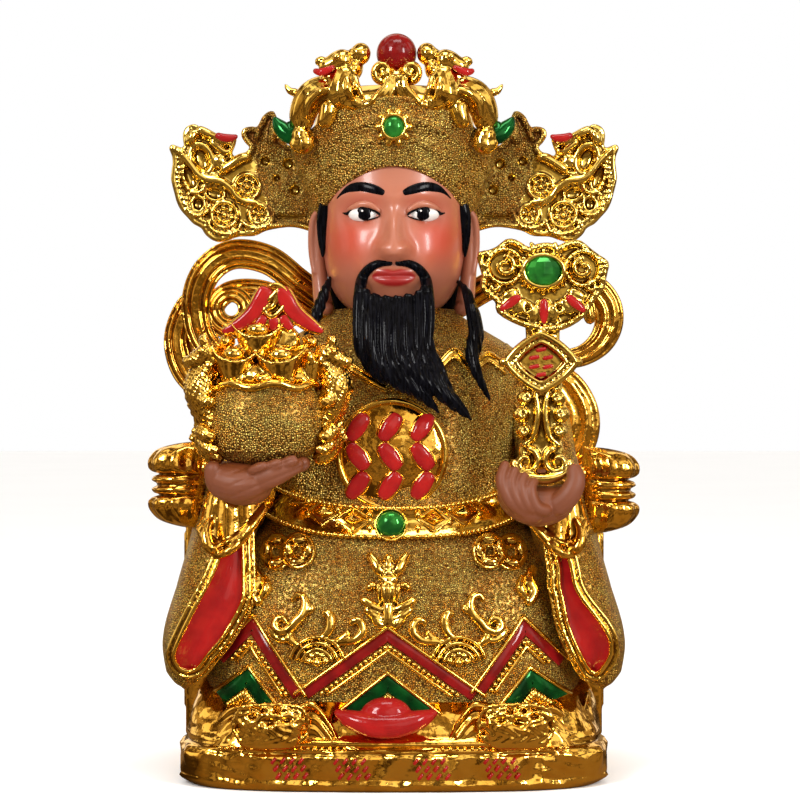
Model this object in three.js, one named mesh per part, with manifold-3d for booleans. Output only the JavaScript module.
// A seated god-of-wealth figure on a throne, cast and gold-plated, with a painted head.
// It carries a treasure bowl on one hand and a sceptre in the other, and wears a hat with two dragon wings.
// The front faces -Y, and the underside of the plinth is z = 0. Left and right are as seen from the front, +X being right.
import * as THREE from "three";
import { LoftGeometry } from "three/addons/geometries/LoftGeometry.js";
import { mergeVertices } from "three/addons/utils/BufferGeometryUtils.js";
import Module from "manifold-3d";

const wasm = await Module();
wasm.setup();

// Driving sizes, in millimetres.
const PLINTH_HEIGHT = 24;
const PLINTH_WIDTH = 230;
const PLINTH_DEPTH = 172;
const FIGURE_HEIGHT = 384; // from the plinth's top to the crown of the hat's pearl
const WING_THICKNESS = 7;
const TONGUE_LENGTH = 5; // the wing's tongue, which stands in a slot in the hat
const TONGUE_HEIGHT = 20;
const TONGUE_THICKNESS = 4;
const GLUE_GAP = 0.35; // around each piece that is set into the casting

// The carving is laid out on a grid whose z = 0 is the plinth's top, 384 units high to the pearl's crown.
const GRID_HEIGHT = 384;
const UNIT = FIGURE_HEIGHT / GRID_HEIGHT;

const GOLD = { color: 0xd9a125, roughness: 0.16, metalness: 1 };
const SAND_GOLD = { color: 0xb98a2c, roughness: 0.5, metalness: 1 };

/** A point of the carving's grid, in millimetres. */
const at = (x, y, z) => new THREE.Vector3(x * UNIT, y * UNIT, z * UNIT + PLINTH_HEIGHT);

/** A closed geometry as a solid whose faces point out. */
function solid(geometry) {
  const bare = new THREE.BufferGeometry().setAttribute("position", geometry.getAttribute("position"));
  bare.setIndex(geometry.index);
  const merged = mergeVertices(bare, 1e-4);
  const make = (triVerts) =>
    new wasm.Manifold(
      new wasm.Mesh({ numProp: 3, vertProperties: merged.attributes.position.array, triVerts }),
    );
  const triangles = new Uint32Array(merged.index.array);
  const made = make(triangles);
  return made.volume() < 0 ? make(triangles.reverse()) : made;
}

/** A solid as a named mesh. */
function meshOf(name, made, finish) {
  const { vertProperties, triVerts, numProp, numVert } = made.getMesh();
  const positions = new Float32Array(numVert * 3);
  for (let i = 0; i < numVert; i++) {
    positions.set(vertProperties.subarray(i * numProp, i * numProp + 3), i * 3);
  }
  const geometry = new THREE.BufferGeometry();
  geometry.setAttribute("position", new THREE.BufferAttribute(positions, 3));
  geometry.setIndex(new THREE.BufferAttribute(triVerts, 1));
  geometry.computeVertexNormals();
  const mesh = new THREE.Mesh(geometry, new THREE.MeshStandardMaterial(finish));
  mesh.name = name;
  return mesh;
}

const join = (solids) => solids.flat(Infinity).reduce((all, next) => all.add(next));

/** The same build for both sides of the figure: side is -1 on the left and 1 on the right. */
const bothSides = (build) => [-1, 1].map((side) => build(side));

/** A value between the rows of a table, by its first column. */
function between(table, key) {
  const last = table.length - 1;
  if (key <= table[0][0]) return table[0];
  if (key >= table[last][0]) return table[last];
  const i = table.findIndex((row) => row[0] > key) - 1;
  const share = (key - table[i][0]) / (table[i + 1][0] - table[i][0]);
  return table[i].map((value, column) => THREE.MathUtils.lerp(value, table[i + 1][column], share));
}

const power = (value, exponent) => Math.sign(value) * Math.abs(value) ** exponent;

/** A level ring: front and back may reach differently, and a squareness over 2 makes it boxier than an ellipse. */
function levelRing(z, { x = 0, width, front, back, square = 2, count = 24, y = 0 }) {
  return Array.from({ length: count }, (_, i) => {
    const angle = (2 * Math.PI * (i + 0.5)) / count;
    const across = power(Math.sin(angle), 2 / square) * width;
    const deep = power(Math.cos(angle), 2 / square);
    return at(x + across, y - (deep > 0 ? deep * front : deep * back), z);
  });
}

/** A skin over rings of points, closed at both ends. The rings may turn either way round. */
function loft(rings) {
  const middleOf = (ring) => ring.reduce((sum, p) => sum.add(p), new THREE.Vector3()).divideScalar(ring.length);
  const start = middleOf(rings[0]);
  const along = middleOf(rings[1]).sub(start);
  const turn = rings[0].reduce((sum, p, i) => {
    const next = rings[0][(i + 1) % rings[0].length];
    return sum.add(new THREE.Vector3().crossVectors(p.clone().sub(start), next.clone().sub(start)));
  }, new THREE.Vector3());
  const ordered = turn.dot(along) < 0 ? rings.map((ring) => ring.slice().reverse()) : rings;
  return solid(new LoftGeometry(ordered, { capStart: true, capEnd: true }));
}

/** An ellipsoid on the grid. */
function ball([x, y, z], [rx, ry, rz], grow = 0, columns = 8, rows = 5) {
  const geometry = new THREE.SphereGeometry(1, columns, rows);
  geometry.rotateX(Math.PI / 2);
  const g = grow / UNIT;
  geometry.scale((rx + g) * UNIT, (ry + g) * UNIT, (rz + g) * UNIT);
  geometry.translate(...at(x, y, z).toArray());
  return solid(geometry);
}

/** A length of varying section along a smooth line. Half sizes are given at each point: across the line in the
 * front view, and towards the viewer. */
function sweep(points, halfWidths, halfDepths, { sides = 5, steps = 1, grow = 0, closed = false, up } = {}) {
  const curve = new THREE.CatmullRomCurve3(points.map((p) => at(...p)), closed, "centripetal");
  const spans = closed ? points.length : points.length - 1;
  const count = spans * steps;
  const depth = up ?? new THREE.Vector3(0, 1, 0);
  const pick = (sizes, t) => {
    const place = t * spans;
    const i = Math.min(Math.floor(place), spans - 1);
    const next = sizes[(i + 1) % sizes.length] ?? sizes[0];
    return THREE.MathUtils.lerp(sizes[i], next, place - i) * UNIT + grow;
  };
  const rings = Array.from({ length: count + 1 }, (_, k) => {
    const t = k / count;
    const centre = curve.getPoint(t);
    const along = curve.getTangent(t);
    const across = new THREE.Vector3().crossVectors(depth, along).normalize();
    const out = new THREE.Vector3().crossVectors(along, across);
    const w = pick(halfWidths, t);
    const d = pick(halfDepths, t);
    return Array.from({ length: sides }, (_, i) => {
      const angle = (2 * Math.PI * (i + 0.5)) / sides;
      return centre.clone().addScaledVector(across, w * Math.cos(angle)).addScaledVector(out, d * Math.sin(angle));
    });
  });
  return loft(rings);
}

/** A plate cut to an outline in the front view, from y = front to y = back. */
function plate(outline, front, back, grow = 0) {
  const shape = new THREE.Shape(outline.map(([x, z]) => new THREE.Vector2(x * UNIT, z * UNIT)));
  const depth = (back - front) * UNIT + 2 * grow;
  const geometry = new THREE.ExtrudeGeometry(shape, { depth, bevelEnabled: false, curveSegments: 4 });
  geometry.rotateX(Math.PI / 2);
  geometry.translate(0, back * UNIT + grow, PLINTH_HEIGHT);
  return solid(geometry);
}

/** A flat-topped strip laid on a surface along a line in the front view. surface(x, z) gives the surface's y. */
function strip(line, halfWidth, rise, surface, { sink = 2.5, pitch = 20 } = {}) {
  const points = line.flatMap(([x, z], i) => {
    if (i === line.length - 1) return [[x, z]];
    const [nx, nz] = line[i + 1];
    const parts = Math.max(1, Math.round(Math.hypot(nx - x, nz - z) / pitch));
    return Array.from({ length: parts }, (_, k) => [x + ((nx - x) * k) / parts, z + ((nz - z) * k) / parts]);
  });
  const normals = points.map((_, i) => {
    const turn = ([ax, az], [bx, bz]) => new THREE.Vector2(az - bz, bx - ax).normalize();
    const before = turn(points[Math.max(i - 1, 0)], points[Math.max(i, 1)]);
    const after = turn(points[Math.min(i, points.length - 2)], points[Math.min(i + 1, points.length - 1)]);
    const middle = before.clone().add(after).normalize();
    return middle.divideScalar(Math.max(middle.dot(after), 0.4));
  });
  const rings = points.map(([x, z], i) => {
    const edge = (side, lift) => {
      const ex = x + side * halfWidth * normals[i].x;
      const ez = z + side * halfWidth * normals[i].y;
      return at(ex, surface(ex, ez) - lift, ez);
    };
    return [edge(-1, -sink), edge(-1, rise), edge(1, rise), edge(1, -sink)];
  });
  return loft(rings);
}

/** Points on an arc in the front view, in degrees from +X towards +Z. */
function arc([x, z], radius, from, to, count) {
  return Array.from({ length: count + 1 }, (_, i) => {
    const angle = THREE.MathUtils.degToRad(from + ((to - from) * i) / count);
    return [x + radius * Math.cos(angle), z + radius * Math.sin(angle)];
  });
}

// The robe's level sections: height, half width, reach to the front, reach to the back, squareness.
const ROBE = [
  [-3, 103, 83, 72, 3],
  [26, 104, 84, 72, 3],
  [52, 101, 83, 70, 2.8],
  [76, 93, 79, 66, 2.6],
  [96, 84, 72, 60, 2.4],
  [116, 71, 61, 55, 2.3],
  [136, 68, 58, 52, 2.3],
  [161, 70, 56, 50, 2.3],
  [183, 74, 53, 48, 2.2],
  [201, 74, 47, 45, 2.2],
  [213, 66, 40, 41, 2.1],
  [223, 50, 34, 35, 2],
  [234, 34, 30, 30, 2],
];

/** The robe's front surface at a place in the front view. */
function robeFront(x, z) {
  const [, width, front, , square] = between(ROBE, z);
  const inside = Math.max(1 - Math.abs(x / width) ** square, 0.02);
  return -front * inside ** (1 / square);
}

function robe() {
  return loft(
    ROBE.map(([z, width, front, back, square]) => levelRing(z, { width, front, back, square, count: 22 })),
  );
}

// The belt sags to the middle of the front.
const BELT_LOW = 117;
const BELT_RISE = 12; // at BELT_REACH from the middle
const BELT_REACH = 60;
const BELT_HALF_HEIGHT = 8;
const beltHeight = (x) => BELT_LOW + BELT_RISE * Math.min(Math.abs(x) / BELT_REACH, 1.1) ** 2;

function belt() {
  const count = 20;
  const lineAt = (lift) =>
    Array.from({ length: count }, (_, i) => {
      const angle = (2 * Math.PI * i) / count;
      const rough = Math.sin(angle) * BELT_REACH;
      const z = beltHeight(rough) + lift;
      const [, width, front, back, square] = between(ROBE, z);
      const deep = power(Math.cos(angle), 2 / square);
      return [power(Math.sin(angle), 2 / square) * width, -(deep > 0 ? deep * front : deep * back), z];
    });
  const band = (half, rise) => {
    const low = lineAt(-half);
    const high = lineAt(half);
    const ring = (line, grow, dz = 0) => line.map(([x, y, z]) => at(x * grow, y * grow, z + dz));
    const out = 1 + rise / 60;
    return loft([ring(low, 0.9, -1.5), ring(low, out), ring(high, out), ring(high, 0.9, 1.5)]);
  };
  const diamonds = [-56, -38, -20, 20, 38, 56].map((x) => {
    const stud = new THREE.ConeGeometry(7.5 * UNIT, 5 * UNIT, 4);
    stud.rotateX(Math.PI);
    stud.scale(1.15, 1, 0.85);
    const z = beltHeight(x);
    const facing = Math.atan2(robeFront(x + 2, z) - robeFront(x - 2, z), 4);
    stud.rotateZ(facing);
    stud.translate(...at(x, robeFront(x, z) - 4.2, z).toArray());
    return solid(stud);
  });
  const jewel = ball([-1.5, robeFront(0, BELT_LOW) - 3.5, BELT_LOW - 1], [8, 6, 7.5]);
  return [band(BELT_HALF_HEIGHT, 2.4), diamonds, jewel];
}

// The chest medallion, and the shallow strokes on it that stand in for an inscription.
const MEDALLION = { x: 1.5, z: 156, radius: 26 };

function medallion() {
  const { x, z, radius } = MEDALLION;
  const y = robeFront(x, z);
  const disc = new THREE.CylinderGeometry((radius + 1.5) * UNIT, radius * UNIT, 7 * UNIT, 20);
  disc.translate(...at(x, y + 0.6, z).toArray());
  const face = () => y - 2.4;
  const rows = [-1, 0, 1].flatMap((row) =>
    [-1, 1].map((side) => {
      const height = z + row * 13;
      const start = x + side * 3;
      const end = x + side * (row === 0 ? 19 : 15);
      return strip([[start, height - 2], [end, height + 3]], 2.6, 2.6, face, { sink: 3.5 });
    }),
  );
  return [solid(disc), rows];
}

// A zigzag border: each panel has a peak and two feet.
const CENTRE_PANEL = [[-50, 29], [-2, 62], [47, 29]];
const sidePanel = (side) => [[side * 53, 27], [side * 72, 68], [side * 95, 48]];

/** A line moved straight down and drawn in at its ends. */
const lowered = (line, drop, tuck) =>
  line.map(([x, z], i) => (i === 1 ? [x, z - drop] : [x + Math.sign(line[1][0] - x) * tuck, z - drop]));

function hemPanels() {
  const panels = [CENTRE_PANEL, sidePanel(-1), sidePanel(1)];
  return panels.map((line) => [
    strip(lowered(line, 3, 1), 4.5, 2, robeFront),
    strip(lowered(line, 12.5, 4), 1.4, 2.6, robeFront),
  ]);
}

/** Two coins, one over the other, each with a square hole. */
function coinPair(side) {
  return [0, 1].map((k) => {
    const x = side * (k ? 64 : 52);
    const z = 101;
    const disc = new THREE.CylinderGeometry(9.8 * UNIT, 8.8 * UNIT, (6 + k) * UNIT, 10);
    disc.rotateZ(side * (k ? 0.75 : 0.5));
    disc.translate(...at(x, robeFront(x, z) + 1, z).toArray());
    const hole = new THREE.BoxGeometry(5.2 * UNIT, 12 * UNIT, 5.2 * UNIT);
    hole.rotateZ(side * 0.6);
    hole.translate(...at(x, robeFront(x, z) - 8.2, z).toArray());
    return solid(disc).subtract(solid(hole));
  });
}

/** A raised scroll on the robe, thick in the middle. */
function scroll(points, thick) {
  const line = points.map(([x, z]) => [x, robeFront(x, z) - 0.8, z]);
  const half = line.map((_, i) => thick * (0.45 + 0.75 * Math.sin((Math.PI * (i + 0.5)) / line.length)));
  return sweep(line, half, half, { sides: 4 });
}

function robeOrnaments() {
  const lotusX = -2;
  const bulb = ball([lotusX, robeFront(0, 80), 81], [6.5, 4.5, 7]);
  const prongs = [-1, 0, 1].map((k) =>
    scroll([[lotusX + k * 2, 87], [lotusX + k * 10, 101 - Math.abs(k)]], 1.9),
  );
  const leaves = [-1, 1].map((k) => scroll([[lotusX + k * 3, 76], [lotusX + k * 12, 79]], 2));
  const stem = scroll([[lotusX, 76], [lotusX, 61]], 2.4);
  const side = bothSides((s) => [
    ball([s * 39, robeFront(39, 54) + 1, 52], [13, 4.5, 9]),
    scroll([[s * 40, 62], [s * 52, 69], [s * 49, 79], [s * 51, 88]], 2.6),
    scroll([[s * 38, 62], [s * 28, 65], [s * 31, 73]], 2.2),
    scroll([[s * 26, 55], [s * 16, 61], [s * 18, 69]], 2),
    scroll([[s * 70, 74], [s * 71, 91]], 2.4),
  ]);
  return [bulb, prongs, leaves, stem, side];
}

// An arm in its sleeve, from the sleeve's low hanging corner up to the shoulder:
// height, middle across, half width, reach to the front, reach to the back.
const SLEEVE = [
  [29, 113, 6, 64, 5],
  [36, 112, 13, 72, -13],
  [54, 110, 16.5, 76, -21],
  [81, 102, 17.5, 77, -26],
  [116, 92, 18, 71, -20],
  [135, 87, 18, 62, -16],
  [152, 85, 17, 42, -14],
  [186, 76, 19, 26, -18],
  [205, 62, 19, 22, -18],
  [215, 50, 14, 16, -14],
];

/** A sleeve's front surface, across the way that its opening faces. */
function sleeveFront(side) {
  return (x, z) => {
    const [, middle, half, front, back] = between(SLEEVE, z);
    const deep = (front - back) / 2;
    const inside = Math.max(1 - Math.abs((x - side * middle) / half) ** 2.5, 0.05);
    return -(front + back) / 2 - deep * inside ** (1 / 2.5);
  };
}

function sleeve(side) {
  const body = loft(
    SLEEVE.map(([z, middle, half, front, back]) => {
      const deep = (front - back) / 2;
      const y = -(front + back) / 2;
      return levelRing(z, { x: side * middle, y, width: half, front: deep, back: deep, square: 2.5, count: 10 });
    }),
  );
  const surface = sleeveFront(side);
  const rim = [
    [side * 92, 101], [side * 98, 78], [side * 117, 52], [side * 118, 42], [side * 110, 40],
    [side * 94, 58], [side * 87, 72], [side * 82, 100],
  ];
  const cuff = [0, 1].map((k) =>
    sweep(
      [[side * (71 + 6 * k), -70, 128], [side * (81 + 6 * k), -77, 116 + k], [side * (92 + 4 * k), -74, 107 + 2 * k]],
      [4, 5, 4],
      [6, 5, 4],
    ),
  );
  return [body, strip(rim, 1.6, 2, surface, { pitch: 40 }), cuff];
}

/** The cupped hand under the bowl, seen on the left. */
function bowlHand() {
  const palm = sweep(
    [[-95, -72, 142], [-85, -78, 137], [-74, -80, 136], [-61, -80, 142], [-49, -78, 149]],
    [8, 11, 11, 8, 3],
    [12, 19, 20, 18, 13],
    { sides: 8 },
  );
  const thumb = sweep([[-91, -82, 138], [-95, -86, 145], [-95, -88, 152]], [5, 5, 3.5], [6, 5.5, 4]);
  const wrist = sweep([[-84, -50, 142], [-86, -66, 141]], [12, 11], [11, 10], {
    sides: 6,
    up: new THREE.Vector3(0, 0, 1),
  });
  return [palm, thumb, wrist];
}

/** The hand that holds the sceptre, seen on the right. */
function sceptreHand() {
  const palm = sweep(
    [[57, -76, 142], [62, -80, 131], [74, -81, 126], [86, -80, 128], [94, -78, 136]],
    [8, 11, 10, 9, 7],
    [14, 18, 19, 17, 13],
    { sides: 8 },
  );
  const fingers = [0, 1, 2].map((k) =>
    sweep(
      [[59 + 7 * k, -91 + k, 128 - k], [58 + 8 * k, -97, 138 - 3 * k], [60 + 8 * k, -93, 150 - 7 * k]],
      [5, 5, 3.6],
      [6, 5.5, 4],
    ),
  );
  const thumb = sweep([[92, -86, 132], [97, -90, 141], [95, -92, 149]], [5.5, 5.5, 4], [6, 6, 4]);
  const wrist = sweep([[80, -50, 138], [78, -68, 136]], [12, 11], [11, 10], {
    sides: 6,
    up: new THREE.Vector3(0, 0, 1),
  });
  return [palm, fingers, thumb, wrist];
}

// The plinth: share of its height, and how much narrower than its full width it is there.
const PLINTH_SECTIONS = [
  [0, 3],
  [0.9, 0],
  [1, 1.5],
];

function plinth() {
  const ring = (height, inset) => {
    const count = 28;
    const front = PLINTH_DEPTH * 0.535 - inset;
    const back = PLINTH_DEPTH * 0.465 - inset;
    return Array.from({ length: count }, (_, i) => {
      const angle = (2 * Math.PI * (i + 0.5)) / count;
      const x = power(Math.sin(angle), 0.34) * (PLINTH_WIDTH / 2 - inset);
      const deep = power(Math.cos(angle), 0.34);
      const bow = 1 - 0.11 * (x / (PLINTH_WIDTH / 2)) ** 2;
      return new THREE.Vector3(x, deep > 0 ? -deep * front * bow : -deep * back, height);
    });
  };
  const slab = loft(PLINTH_SECTIONS.map(([share, inset]) => ring(share * PLINTH_HEIGHT, inset)));
  const skirt = loft([
    levelRing(-2, { width: 113, front: 88, back: 77, square: 5, count: 20 }),
    levelRing(8, { width: 114, front: 88, back: 77, square: 5, count: 20 }),
    levelRing(24, { width: 110, front: 85, back: 76, square: 4, count: 20 }),
    levelRing(34, { width: 101, front: 78, back: 72, square: 3, count: 20 }),
  ]);
  return [slab, skirt];
}

/** The robe's lower edge, which lies in folds over the plinth. */
function hemFolds() {
  const edge = [
    [-103, 30], [-87, 14], [-64, 32], [-36, 29], [-18, 9], [18, 9], [36, 29], [64, 32], [87, 14], [103, 30],
  ];
  const line = edge.map(([x, z]) => [x, robeFront(x * 0.97, z + 8) - 1.5, z]);
  return sweep(line, line.map(() => 4), line.map(() => 4.5));
}

/** A boat-shaped gold ingot: a hull with raised ends and a dome in the middle. */
function ingot([x, y, z], length, height, depth, grow = 0) {
  const half = length / 2;
  const hull = sweep(
    [[x - half, y, z + height * 0.75], [x - half * 0.55, y, z + height * 0.3], [x, y, z + height * 0.18],
      [x + half * 0.55, y, z + height * 0.3], [x + half, y, z + height * 0.75]],
    [height * 0.1, height * 0.36, height * 0.44, height * 0.36, height * 0.1],
    [depth * 0.16, depth * 0.42, depth * 0.5, depth * 0.42, depth * 0.16],
    { sides: 6, grow },
  );
  return [hull, ball([x, y, z + height * 0.5], [length * 0.2, depth * 0.34, height * 0.42], grow, 6, 4)];
}

function plinthTreasure() {
  const heaps = bothSides((side) => [
    ball([side * 63, -79, 12], [21, 13, 13], 0, 8, 4),
    [-10, 9].map((dx) => ball([side * 63 + dx, -82, 20], [7, 6, 5.5], 0, 6, 4)),
  ]);
  return [heaps, ingot([-3, -86, 5], 56, 21, 17)];
}

/** The shallow strokes along the plinth's front that stand in for its inscription. */
function plinthStrokes() {
  const face = (x, z) => -PLINTH_DEPTH * 0.535 * (1 - 0.11 * (x / (PLINTH_WIDTH / 2)) ** 2) / UNIT + 0.8 + z * 0;
  const middle = -PLINTH_HEIGHT / 2 / UNIT;
  return [-60, -22, 16, 54].map((x) =>
    [-5, 5].map((dx, k) => strip([[x + dx - 3, middle - 5 + 4 * k], [x + dx + 3, middle + 5]], 0.8, 1.2, face)),
  );
}

// The throne: side panels, arms that end in ribbed knobs, and a back behind the robe.
// The knob that an arm ends in, as heights about its middle and widths: two bulges with ridges between them.
const KNOB = [[-23, 16], [-17, 28], [-9, 30], [-4, 26], [4, 26], [10, 30], [18, 27], [23, 15]];

const THRONE = { panelIn: 99, panelOut: 116, armTop: 147, panelTop: 124, front: -22, back: 74 };

function throne(side) {
  const { panelIn, panelOut, armTop, panelTop, front, back } = THRONE;
  const block = (x0, x1, y0, y1, z0, z1) => {
    const box = new THREE.BoxGeometry((x1 - x0) * UNIT, (y1 - y0) * UNIT, (z1 - z0) * UNIT);
    box.translate(...at((x0 + x1) / 2, (y0 + y1) / 2, (z0 + z1) / 2).toArray());
    return solid(box);
  };
  const span = side > 0 ? [panelIn, panelOut] : [-panelOut, -panelIn];
  const panel = block(...span, front, back, -4, panelTop);
  const arm = sweep(
    [[side * 117, -46, 134], [side * 114, -20, 136], [side * 108, 20, 138], [side * 100, back - 4, 140]],
    [8, 7, 7, 7],
    [9, 8, 9, 9],
    { up: new THREE.Vector3(0, 0, 1) },
  );
  const knobZ = side < 0 ? 137 : 134;
  const knob = loft(
    KNOB.map(([dz, width]) => levelRing(knobZ + dz, { x: side * (103 + width / 2), y: -46, width: width / 2 + 1, front: width / 2, back: width / 2, square: 2.4, count: 8 })),
  );
  return [panel, arm, knob, side > 0 ? block(-panelIn - 4, panelIn + 4, 62, back, -4, armTop + 14) : []];
}

/** A flat, ridged ribbon that loops in the front view. */
function ribbon(points, halfWidths, y) {
  const line = points.map(([x, z], i) => [x, y - 2 * Math.sin((i * Math.PI) / 3), z]);
  return sweep(line, halfWidths, halfWidths.map((w) => Math.min(w * 0.5, 4.2)), { sides: 4, steps: 2 });
}

function ribbons() {
  const rightHandSide = [
    ribbon(
      [[-40, 240], [-58, 252], [-82, 264], [-104, 258], [-111, 238], [-106, 216], [-92, 206], [-78, 214], [-80, 232],
        [-66, 244], [-50, 240]],
      [6, 7, 8, 8.5, 8.5, 8, 7, 6, 6, 6, 5],
      12,
    ),
    ribbon([[-104, 250], [-118, 236], [-123, 214], [-112, 194], [-96, 182], [-84, 176]], [4, 6.5, 7.5, 8, 8, 6], 17),
  ];
  const leftHandSide = [
    ribbon(
      [[44, 236], [66, 246], [92, 256], [116, 246], [124, 226], [114, 206], [94, 198], [78, 200]],
      [6, 7, 8, 8, 8, 8, 7.5, 6],
      12,
    ),
    ribbon([[88, 230], [104, 224], [110, 212], [98, 204], [84, 204]], [6, 6.5, 6.5, 6, 5], 8),
    ribbon([[80, 196], [96, 190], [104, 174], [102, 158], [92, 146]], [7, 10, 12, 12, 7], 10),
  ];
  return [rightHandSide, leftHandSide];
}

// The head: chin to crown in the grid, with the eyes half way, as heads are drawn.
const CHIN = 229;
const CROWN = 341;
const EYES = (CHIN + CROWN) / 2;
const FACE_THIRD = (CROWN - 19 - CHIN) / 3; // chin to nose, nose to brow, brow to hairline
const NOSE_BASE = CHIN + FACE_THIRD;
const BROW = CHIN + 2 * FACE_THIRD;
const MOUTH = NOSE_BASE - FACE_THIRD / 3;
const HEAD_HALF_WIDTH = 40;
const EYE_WIDTH = (2 * HEAD_HALF_WIDTH) / 5;
const HEAD_Y = -8;
const HEAD_DEPTH = 42;

/** The bare head's half width and reach at a height. */
function headSection(z) {
  const half = (CROWN - CHIN) / 2;
  const share = (z - EYES) / half;
  const round = Math.max(1 - Math.abs(share) ** 3, 0) ** (1 / 3);
  return [HEAD_HALF_WIDTH * round, HEAD_DEPTH * round ** 0.75];
}

/** The face's surface, without its features. */
function faceFront(x, z) {
  const [width, reach] = headSection(z);
  const inside = Math.max(1 - Math.abs(x / Math.max(width, 1)) ** 2.3, 0.03);
  return HEAD_Y - reach * inside ** (1 / 2.3);
}

function head() {
  const shares = [-0.985, -0.93, -0.82, -0.66, -0.45, -0.2, 0.1, 0.4, 0.65];
  const skull = loft(
    shares.map((share) => {
      const z = EYES + (share * (CROWN - CHIN)) / 2;
      const [width, reach] = headSection(z);
      return levelRing(z, { y: HEAD_Y, width, front: reach, back: reach * 0.9, square: 2.3, count: 18 });
    }),
  );
  const neck = loft([
    levelRing(CHIN - 12, { width: 27, front: 24, back: 26, count: 12 }),
    levelRing(CHIN + 14, { width: 26, front: 26, back: 26, count: 12 }),
  ]);
  const noseLine = [[0, BROW], [0, EYES], [0, NOSE_BASE + 8], [0, NOSE_BASE + 2]];
  const noseRise = [0.5, 3.5, 8, 8];
  const nose = sweep(
    noseLine.map(([x, z], i) => [x, faceFront(x, z) - noseRise[i] + 3, z]),
    [3.4, 3.6, 5, 5.2],
    [3, 4, 5, 4.5],
    { sides: 6 },
  );
  const nostrils = bothSides((s) => ball([s * 5, faceFront(5, NOSE_BASE) - 1.5, NOSE_BASE + 3], [3.4, 4, 3.4], 0, 6, 4));
  const lips = ball([0, faceFront(0, MOUTH) + 0.6, MOUTH - 0.6], [9.5, 3.4, 3.6], 0, 8, 4);
  const eyes = bothSides((s) =>
    ball([s * EYE_WIDTH, faceFront(EYE_WIDTH, EYES) + 2.4, EYES], [EYE_WIDTH / 2, 4, 4.2]),
  );
  const brows = bothSides((s) =>
    strip([[s * 5, BROW - 1], [s * 14, BROW + 3.5], [s * 25, BROW + 0.5], [s * 30, BROW - 5]], 2, 1, faceFront),
  );
  return [skull, neck, nose, nostrils, lips, eyes, brows];
}

/** A long-lobed ear with the sideburn in front of it. */
function ear(side) {
  const shell = sweep(
    [[side * 38, -10, 290], [side * 43, -8, 284], [side * 43, -8, 262], [side * 42, -10, 243], [side * 38, -12, 232]],
    [4, 5.5, 5, 5.5, 4],
    [6, 9, 8, 6, 4],
  );
  const sideburn = sweep(
    [[side * 38, -24, 292], [side * 40, -22, 280], [side * 39.5, -23, 262]],
    [3.5, 3.4, 1],
    [4, 4, 1],
  );
  return [shell, sideburn];
}

/** Locks of hair that fall from behind the ears, and the beard with its swept point. */
function hair() {
  const locks = [
    sweep([[34, -12, 262], [42, -26, 244], [48, -40, 222], [47, -49, 203], [52, -53, 183]], [4, 6.5, 7, 5, 1],
      [4, 5, 5, 5, 1.5]),
    sweep([[-34, -12, 262], [-42, -26, 244], [-46, -38, 222], [-43, -47, 203]], [4, 6.5, 7, 3], [4, 5, 5, 3],
    ),
  ];
  return locks;
}

// The beard's level sections: height, middle, half width, front.
const BEARD = [
  [239, 0, 20, 54],
  [224, 0.7, 20, 60],
  [206, 3, 20, 63],
  [194, 10, 17, 65],
  [186, 18, 13.5, 66],
  [178, 28, 8.5, 66],
  [172, 37, 2, 64],
];

function beard() {
  const body = loft(
    BEARD.map(([z, x, width, front]) => levelRing(z, { x, y: -front + 12, width, front: 12, back: 14, count: 10 })),
  );
  const secondPoint = sweep([[14, -66, 196], [20, -67, 186], [26, -65, 181]], [6, 4, 0.8], [5, 4, 1]);
  const moustache = bothSides((s) =>
    sweep(
      [[s * 1, faceFront(0, NOSE_BASE - 4) - 1.5, NOSE_BASE - 3.6], [s * 9, faceFront(9, NOSE_BASE - 4) - 1.8, NOSE_BASE - 4],
        [s * 16, faceFront(16, 250) - 2, 250], [s * 18.5, faceFront(18, 240) - 3.5, 241], [s * 18, -56, 230]],
      [1.6, 2.6, 3, 3.2, 3.4],
      [2, 2.4, 2.8, 3.2, 4],
    ),
  );
  const strands = [-8, 6].map((x) =>
    sweep([[x, -58, 238], [x + 1, -63, 222], [x + 3, -66, 206], [x * 0.8 + 12, -68, 193], [x * 0.4 + 24, -68, 182]],
      [1.4, 2.2, 2.4, 2.2, 1], [1.6, 2, 2, 2, 1.4], { sides: 4 }),
  );
  return [body, secondPoint, moustache, strands];
}

// The hat. Its band rises in the middle of the front, and flares outwards to its upper edge.
const HAT = { lowFront: 311, lowSide: 285, highFront: 348, highSide: 323, halfWidth: 45, flare: 13, front: 46, back: 44 };

/** The hat band's ring at a share of its height, with its edge lines arched over the brow. */
function hatRing(share, inset, grow = 0) {
  const count = 24;
  const g = grow / UNIT;
  return Array.from({ length: count }, (_, i) => {
    const angle = (2 * Math.PI * (i + 0.5)) / count;
    const toFront = Math.cos(angle);
    const arch = toFront > 0 ? toFront * toFront : -0.35 * toFront * toFront;
    const low = HAT.lowSide + (HAT.lowFront - HAT.lowSide) * arch;
    const high = HAT.highSide + (HAT.highFront - HAT.highSide) * arch;
    const width = HAT.halfWidth + HAT.flare * share - inset + g;
    const deep = (toFront > 0 ? HAT.front : HAT.back) + 4 * share - inset + g;
    return at(Math.sin(angle) * width, HEAD_Y + 2 - toFront * deep, low + (high - low) * share);
  });
}

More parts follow.
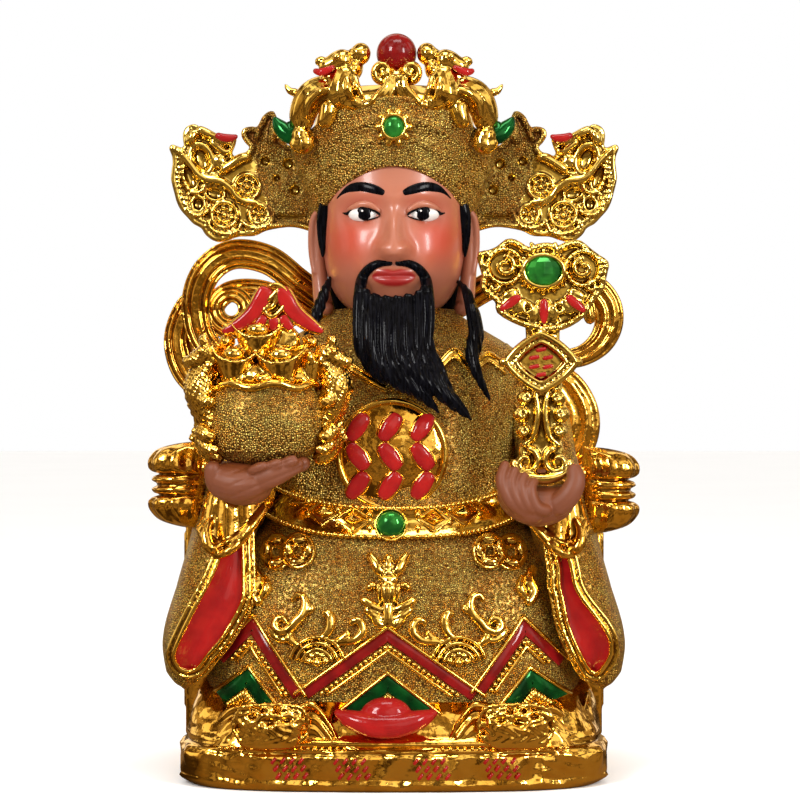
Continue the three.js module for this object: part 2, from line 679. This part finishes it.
/** The hat's band and crown. */
function hatBody(grow = 0) {
  const band = loft([
    hatRing(-0.03, 12, grow),
    hatRing(0, 0, grow),
    hatRing(1, 0, grow),
    hatRing(1.02, 9, grow),
  ]);
  const g = grow / UNIT;
  const crown = loft([
    levelRing(312, { y: 2, width: 46 + g, front: 34 + g, back: 36 + g, square: 2.4, count: 16 }),
    levelRing(344, { y: 4, width: 45 + g, front: 28 + g, back: 33 + g, square: 2.4, count: 16 }),
    levelRing(355, { y: 5, width: 38 + g, front: 23 + g, back: 28 + g, square: 2.2, count: 16 }),
    levelRing(361, { y: 6, width: 22 + g, front: 13 + g, back: 16 + g, square: 2, count: 16 }),
  ]);
  return [band, crown];
}

/** A small dragon that climbs the hat's band towards the pearl, with its tail curled up at the side. */
function hatDragon(side) {
  const body = sweep(
    [[side * 19, -44, 346], [side * 27, -45, 353], [side * 40, -40, 355], [side * 45, -34, 342],
      [side * 49, -32, 329], [side * 58, -31, 330], [side * 61, -31, 336]],
    [3.5, 6.5, 6.5, 6, 5.5, 4.5, 2],
    [5, 6.5, 6.5, 6, 5.5, 4, 2],
  );
  const neck = sweep(
    [[side * 27, -44, 350], [side * 26, -45, 357], [side * 27, -45, 364], [side * 31, -46, 367]],
    [7, 6.5, 6, 4],
    [6, 6, 6, 5],
  );
  const snout = [
    sweep([[side * 28, -46, 367], [side * 35, -47, 364], [side * 42, -47, 362]], [4.5, 3.2, 1.8], [5, 4, 2.5]),
    sweep([[side * 29, -46, 362], [side * 37, -46, 358]], [3, 1.6], [4, 2.4]),
  ];
  const crest = ball([side * 21.5, -45, 368], [6, 5, 9.5], 0, 6, 4);
  const fore = sweep([[side * 24, -46, 354], [side * 18, -49, 348], [side * 16, -49, 346]], [3.4, 2.8, 2], [4, 3, 2]);
  const hind = sweep([[side * 40, -40, 344], [side * 36, -46, 334], [side * 33, -48, 333]], [4.5, 3.2, 2], [4, 3, 2]);
  return [body, neck, snout, crest, fore, hind];
}

/** The cloud scrolls and the pearl on the middle of the hat, and the jewel on its band. */
function hatFinial() {
  const stem = sweep([[1, -46, 341], [1, -45, 352], [1, -42, 363]], [13, 8, 10], [5, 5, 7], { sides: 6 });
  const clouds = bothSides((s) => [
    ball([1 + s * 9, -44, 359], [7, 6.5, 7]),
    sweep([[1 + s * 12, -46, 344], [1 + s * 6, -49, 351], [1 + s * 5, -50, 360]], [2.4, 2, 2], [2.4, 2, 2]),
  ]);
  const pearl = ball([1.5, -40, 373], [11, 11, 11], 0, 10, 7);
  const jewel = ball([0, -50.5, 330], [5.5, 4, 6.5]);
  const setting = ball([0, -49, 330], [9.5, 3, 10], 0, 8, 4);
  return [stem, clouds, pearl, jewel, setting];
}

/** The slot in the hat that takes a wing's tongue, and the tongue itself when grow is 0. */
function tongue(side, grow = 0) {
  const box = new THREE.BoxGeometry(
    TONGUE_LENGTH * 2 + 2 * grow,
    TONGUE_THICKNESS + 2 * grow,
    TONGUE_HEIGHT + 2 * grow,
  );
  const middle = (HAT.halfWidth + HAT.flare * 0.45) * UNIT;
  box.translate(side * middle, 0, at(0, 0, 306).z);
  return solid(box);
}

/** The cast figure with its throne and plinth. */
function figure() {
  const casting = join([
    plinth(), plinthTreasure(), plinthStrokes(), robe(), hemFolds(), hemPanels(), robeOrnaments(),
    bothSides(coinPair), belt(), medallion(), collar(), bothSides(throne), bothSides(sleeve),
    bowlHand(), sceptreHand(), ribbons(), head(), bothSides(ear), hair(), beard(),
    hatBody(), bothSides(hatDragon), hatFinial(),
  ]);
  const wingRoom = join(bothSides((side) => tongue(side, GLUE_GAP)));
  return casting.subtract(join([bowl(GLUE_GAP), sceptre(GLUE_GAP)])).subtract(wingRoom);
}

/** The collar's piping, two scallops that meet in front. */
function collar() {
  const chest = (x, z) => robeFront(x, z);
  return bothSides((s) =>
    strip([[s * 8, 196], [s * 20, 199], [s * 33, 208], [s * 40, 203], [s * 50, 204], [s * 60, 198]], 1.6, 2, chest),
  );
}

/** One half of the bowl's pair of small dragons. */
function bowlDragon(side, grow) {
  const x = BOWL.x + side * BOWL.half + 2;
  const y = BOWL.y - 2 + 2 * side;
  return [
    sweep(
      [[x - side * 5, y, 152], [x + side * 2, y, 158], [x - side * 1, y, 168], [x + side * 4, y, 180],
        [x + side * 3, y, 190], [x - side * 3, y, 198], [x - side * 4, y, 204]],
      [3.5, 5, 5.5, 7, 7, 5.5, 5],
      [4, 6, 7, 8, 8, 7, 6],
      { grow },
    ),
    sweep([[x - side * 4, y, 208], [x + side * 5, y - 2, 203], [x + side * 13, y - 2, 204]], [6, 5, 2.6], [6.5, 5, 3],
      { grow }),
    sweep([[x - side * 2, y - 2, 201], [x + side * 9, y - 3, 197]], [3, 1.6], [4, 2.4], { grow }),
    ball([x - side * 6, y, 210.5], [4, 5, 5], grow, 6, 4),
    ball([x, y - 6, 160], [5, 4, 4], grow, 6, 4),
  ];
}

// The treasure bowl: its place, and its sections as height, half width and half depth.
const BOWL = { x: -68.5, y: -75, half: 31 };
const BOWL_SECTIONS = [
  [149, 16, 14],
  [153, 24, 20],
  [164, 32, 25],
  [178, 32, 25],
  [188, 27, 21],
  [193, 29, 23],
  [196, 27, 21],
];

/** The bowl with its heap of ingots and the red strokes that crown it. grow makes it fatter all round. */
function bowl(grow = 0) {
  const g = grow / UNIT;
  const body = loft(
    BOWL_SECTIONS.map(([z, width, deep], i) =>
      levelRing(z + (i === 0 ? -g : i === BOWL_SECTIONS.length - 1 ? g : 0), {
        x: BOWL.x, y: BOWL.y, width: width + g, front: deep + g, back: deep + g, square: 2.3, count: 16,
      }),
    ),
  );
  const heap = ball([BOWL.x, BOWL.y, 196], [25, 17, 14], grow);
  const ingots = [
    ingot([BOWL.x - 12, BOWL.y - 13, 194], 25, 13, 12, grow),
    ingot([BOWL.x + 13, BOWL.y - 13, 194], 27, 13, 12, grow),
    ingot([BOWL.x - 2, BOWL.y - 10, 206], 27, 13, 12, grow),
  ];
  const strokes = [
    [[-26, 219], [-13, 228], [-6, 240]],
    [[-14, 217], [-8, 224], [-3, 231]],
    [[24, 219], [12, 227], [4, 239]],
    [[12, 214], [9, 224], [3, 231]],
    [[-10, 237], [0, 232], [12, 238]],
  ].map((line) =>
    sweep(line.map(([dx, z]) => [BOWL.x + 2 + dx, BOWL.y - 8, z]), [2, 4.4, 3.4], [2.4, 3.4, 3], { grow }),
  );
  const backing = sweep([[BOWL.x, BOWL.y - 4, 204], [BOWL.x + 1, BOWL.y - 5, 226]], [17, 12], [7, 4], { sides: 6, grow });
  return join([body, heap, ingots, strokes, backing, bothSides((side) => bowlDragon(side, grow))]);
}

// The sceptre: its middle line and the place of its plane.
const SCEPTRE = { x: 79, y: -84 };

/** The sceptre's cloud-shaped head, as an outline about its middle. */
const SCEPTRE_HEAD = [
  [-33, 10], [-26, 11], [-18, 16], [-12, 14], [-4, 15], [4, 17], [14, 16], [22, 15], [29, 8], [35, 5],
  [34, -2], [30, -10], [22, -14], [17, -25], [8, -30], [-4, -30], [-14, -28], [-24, -21], [-27, -15], [-33, -10],
];

function sceptre(grow = 0) {
  const { x, y } = SCEPTRE;
  const headZ = 251;
  const headOutline = SCEPTRE_HEAD.map(([dx, dz]) => {
    const reach = Math.hypot(dx, dz);
    const more = 1 + grow / UNIT / reach;
    return [x + dx * more, headZ + dz * more];
  });
  const headPlate = plate(headOutline, y - 5, y + 4, grow);
  const jewel = ball([x, y - 6, headZ], [9.5, 4.5, 8], grow, 10, 5);
  const jewelRing = sweep(
    arc([x, headZ], 1, 0, 315, 7).map(([ax, az]) => [x + (ax - x) * 11.5, y - 5.5, headZ + (az - headZ) * 10]),
    Array(8).fill(2),
    Array(8).fill(2.4),
    { sides: 4, steps: 2, grow, closed: true },
  );
  const curls = bothSides((s) => [
    sweep([[x + s * 13, y - 5, headZ + 9], [x + s * 22, y - 6, headZ + 8], [x + s * 28, y - 6, headZ + 1],
      [x + s * 24, y - 6, headZ - 7], [x + s * 16, y - 6, headZ - 5], [x + s * 17, y - 6, headZ + 2]],
      [2.4, 2.6, 2.8, 2.6, 2.2, 1.6], [2.4, 2.6, 2.6, 2.6, 2.4, 2], { grow }),
    sweep([[x + s * 10, y - 5, headZ - 14], [x + s * 18, y - 6, headZ - 22]], [2.4, 2], [3, 2.4], { grow }),
  ]);
  const middlePetal = sweep([[x, y - 6, headZ - 14], [x, y - 7, headZ - 26]], [2.6, 2.2], [3, 2.4], { grow });
  const stem = sweep(
    [[x, y + 1, 229], [x, y + 1, 216], [x, y, 196], [x - 1, y, 178], [x - 1, y, 160], [x - 1, y, 146]],
    [11, 12, 13, 13, 12, 9],
    [4, 4, 4, 4.5, 4.5, 4],
    { sides: 6, grow },
  );
  const diamondZ = 203;
  const g = grow / UNIT;
  const rhombus = (half) => [[x - half - g, diamondZ], [x, diamondZ - half * 0.88 - g], [x + half + g, diamondZ], [x, diamondZ + half * 0.88 + g]];
  const diamond = [plate(rhombus(19), y - 6, y + 2, grow), plate(rhombus(13), y - 7.5, y, grow)];
  const bars = [-5, 0, 5].map((dz) =>
    sweep([[x - 7 + Math.abs(dz) / 2, y - 7.6, diamondZ + dz], [x + 7 - Math.abs(dz) / 2, y - 7.6, diamondZ + dz]],
      [1.1, 1.1], [1, 1], { sides: 4, grow }),
  );
  const beads = [176, 168].map((z) => [-8, 8].map((dx) => ball([x - 1 + dx, y - 4, z], [5, 4, 4.4], grow, 7, 4)));
  const foot = [
    ball([x - 10, y - 3, 151], [9, 6, 7], grow),
    ball([x + 9, y - 3, 151], [9, 6, 7], grow),
    ball([x, y - 3, 145], [14, 6, 8], grow, 10, 5),
  ];
  return join([headPlate, jewel, jewelRing, curls, middlePetal, stem, diamond, bars, beads, foot]);
}

// A wing of the hat, as an outline on its own side: out from the hat along the lower edge, and back over the top.
const WING = [
  [46, 283], [60, 281], [72, 278], [85, 277], [98, 274], [107, 279], [117, 286], [121, 298], [124, 311],
  [123, 320], [126, 328], [122, 328], [117, 327], [117, 334], [112, 339], [104, 336], [92, 333], [90, 330],
  [93, 323], [82, 323], [84, 329], [87, 335], [79, 336], [75, 343], [70, 346], [68, 338], [62, 333],
  [60, 326], [52, 324], [46, 316],
];

function hatWing(side) {
  const half = WING_THICKNESS / 2 / UNIT;
  const outline = WING.map(([x, z]) => [side * x, z]);
  const y = -half;
  const line = (points, w, d, steps = 1) =>
    sweep(points.map(([x, z]) => [side * x, y - 0.8, z]), w, d, { sides: 4, steps });
  const relief = [
    line([[50, 284], [72, 281], [98, 278], [114, 288], [121, 306], [122, 322]], [1.8, 1.8, 1.8, 1.8, 1.8, 1.4], [2.2, 2.2, 2.2, 2.2, 2.2, 1.6]),
    line([[84, 298], [94, 303], [106, 311], [115, 320], [116, 330], [110, 336]], [3, 4, 4.6, 4.6, 4.4, 4], [3, 3.6, 4, 4.4, 4.4, 4]),
    line([[113, 338], [104, 333], [95, 333]], [5, 4, 1.8], [4.4, 4, 2.4]),
    line([[107, 328], [99, 328], [94, 327]], [3.4, 2.6, 1.4], [4, 3, 2]),
    line([[86, 316], [92, 309], [88, 301], [78, 301], [74, 308], [79, 314], [84, 311]], [2, 2.4, 2.6, 2.6, 2.4, 2, 1.4], [2, 2.6, 2.8, 2.8, 2.6, 2.2, 1.6]),
    line([[98, 288], [106, 292], [104, 300], [96, 298], [92, 290]], [1.8, 2.2, 2.2, 2, 1.4], [2, 2.2, 2.2, 2, 1.6]),
    line([[80, 286], [86, 290], [82, 295], [76, 291]], [1.6, 2, 1.8, 1.2], [2, 2.2, 2, 1.4]),
  ];
  const holes = [[60, 316, 3.2], [58, 302, 2.6]].map(([x, z, radius]) => {
    const drill = new THREE.CylinderGeometry(radius * UNIT, radius * UNIT, 30 * UNIT, 8);
    drill.translate(...at(side * x, 0, z).toArray());
    return solid(drill);
  });
  const blank = join([plate(outline, -half, half), relief, tongue(side)]).subtract(join(holes));
  const hatAround = join(hatBody(GLUE_GAP)).subtract(tongue(side, GLUE_GAP));
  return blank.subtract(hatAround).subtract(join(ear(side).concat(hatDragon(side))));
}

const group = new THREE.Group();
group.add(meshOf("figure", figure(), GOLD));
group.add(meshOf("treasure_bowl", bowl(), SAND_GOLD));
group.add(meshOf("ruyi_sceptre", sceptre(), GOLD));
group.add(meshOf("hat_wing_left", hatWing(-1), GOLD));
group.add(meshOf("hat_wing_right", hatWing(1), GOLD));

export default group;
